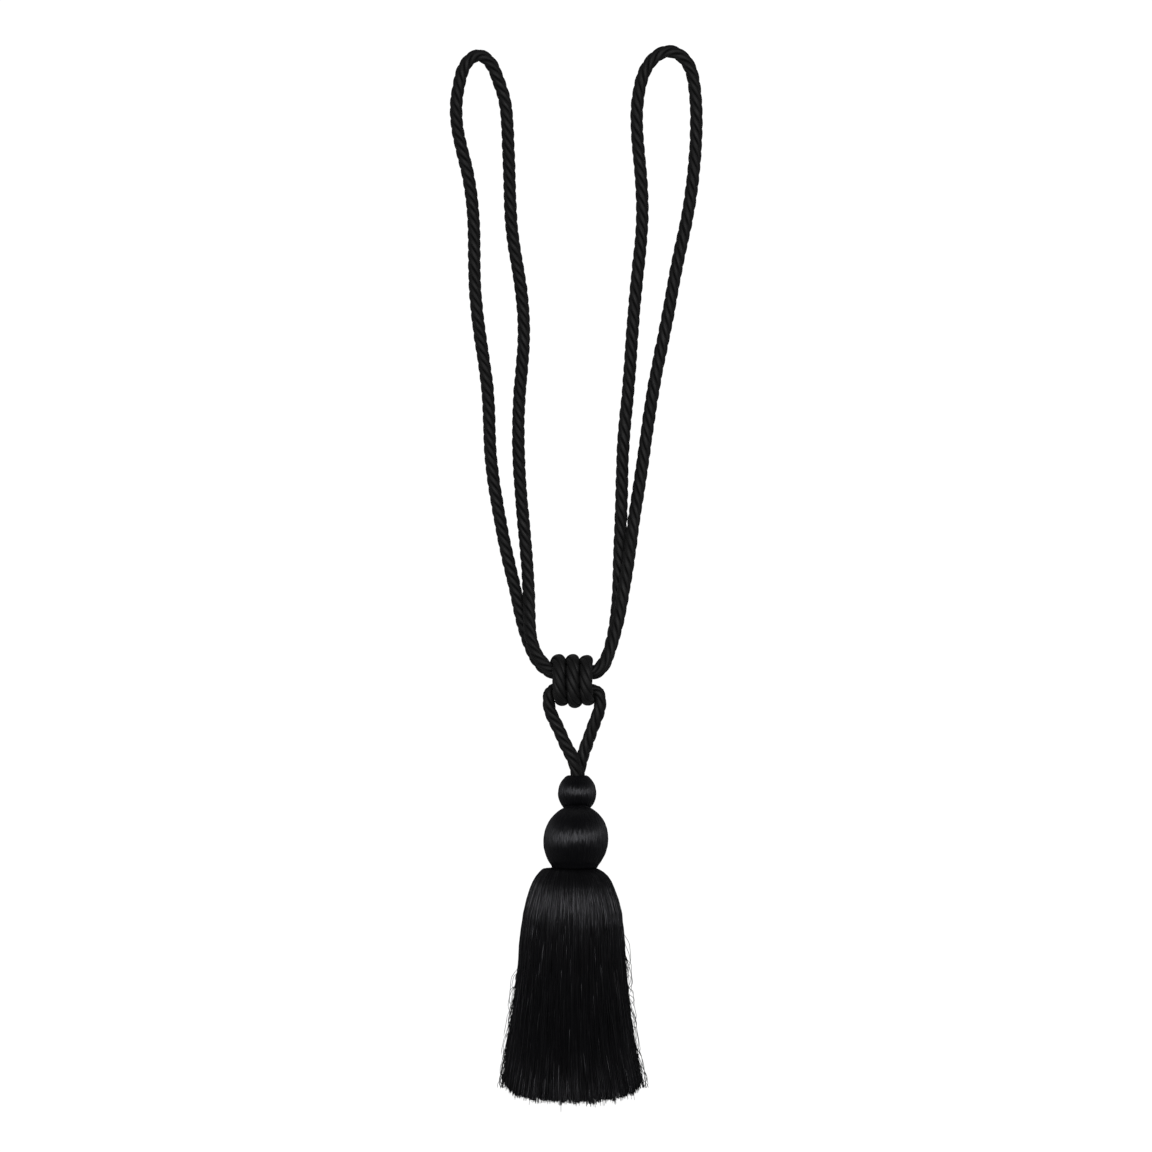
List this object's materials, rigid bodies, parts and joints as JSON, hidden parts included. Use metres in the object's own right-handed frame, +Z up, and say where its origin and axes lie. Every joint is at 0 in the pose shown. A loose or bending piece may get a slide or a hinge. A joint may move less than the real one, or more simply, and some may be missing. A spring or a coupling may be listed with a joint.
{
  "type": "curtain tieback tassel",
  "caption": "Curtain tieback lying flat: a twisted rope in open loops, drawn together by a rope binding, with a key tassel of yarn-covered balls over a skirt of cut yarn.",
  "frame": {"origin": "on the surface it lies on, under the middle of the tassel (balls and skirt)", "axes": "+Y from the tassel towards the loops, +X across, +Z up from the surface"},
  "size_m": [0.1641, 0.6884, 0.043],
  "materials": {
    "rope_yarn": "black twisted viscose rope, soft satin",
    "ball_yarn": "black satin yarn laid from pole to pole",
    "skirt_yarn": "fine black cut yarn with a soft sheen"
  },
  "bodies": {
    "root": {"rope": "rope_yarn", "binding": "rope_yarn", "small_ball": "ball_yarn", "large_ball": "ball_yarn", "skirt": "skirt_yarn"}
  },
  "joints": []
}
